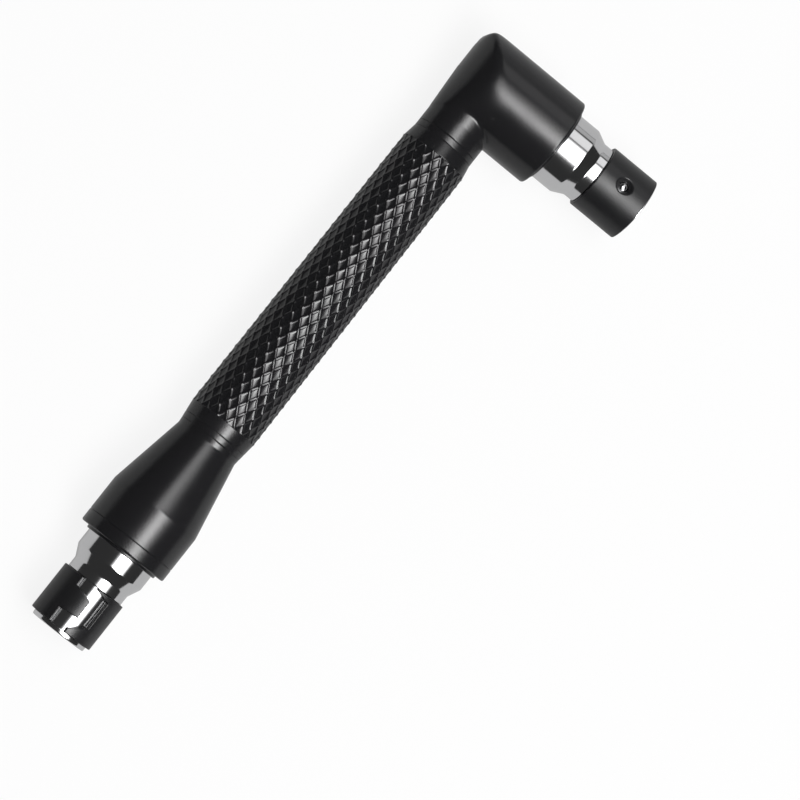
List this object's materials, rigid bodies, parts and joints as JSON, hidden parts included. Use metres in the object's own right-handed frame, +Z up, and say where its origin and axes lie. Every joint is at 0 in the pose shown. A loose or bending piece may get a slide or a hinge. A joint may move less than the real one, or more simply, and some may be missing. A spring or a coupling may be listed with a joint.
{
  "type": "offset screwdriver",
  "caption": "L-shaped offset driver for quarter-inch hexagon bits, with a knurled grip and a chromed socket with a spring band and ball catch at each end.",
  "frame": {"origin": "under the middle of the tool's footprint, on the surface that it lies on", "axes": "+X along the grip, out of the tail socket; +Y out of the head socket; +Z up, square to both sockets"},
  "size_m": [0.1262, 0.0422, 0.0172],
  "materials": {
    "black_body": "satin black paint with a fine grain",
    "black_grip": "satin black paint over the knurl",
    "chrome_plate": "bright chrome plate",
    "black_spring": "blackened spring steel",
    "ball_steel": "polished steel",
    "rod_steel": "drawn steel"
  },
  "bodies": {
    "driver": {"elbow_head": "black_body", "head_ring": "black_body", "head_collar": "black_body", "grip": "black_grip", "tail_collar": "black_body", "tail_ring": "black_body", "tail_cone": "black_body", "core_rod": "rod_steel", "head_socket": "chrome_plate", "tail_socket": "chrome_plate", "head_band": "black_spring", "tail_band": "black_spring"},
    "head_catch": {"head_ball": "ball_steel"},
    "tail_catch": {"tail_ball": "ball_steel"}
  },
  "joints": [
    {"name": "head_ball_press", "type": "slide", "parent": "driver", "child": "head_catch", "axis": [-0.1908, 0, 0.9816], "range_m": [0, 0.0004], "stiffness_N_per_m": 3000, "deforming": ["head_band"]},
    {"name": "tail_ball_press", "type": "slide", "parent": "driver", "child": "tail_catch", "axis": [0, -0.1392, -0.9903], "range_m": [0, 0.0004], "stiffness_N_per_m": 3000, "deforming": ["tail_band"]}
  ]
}
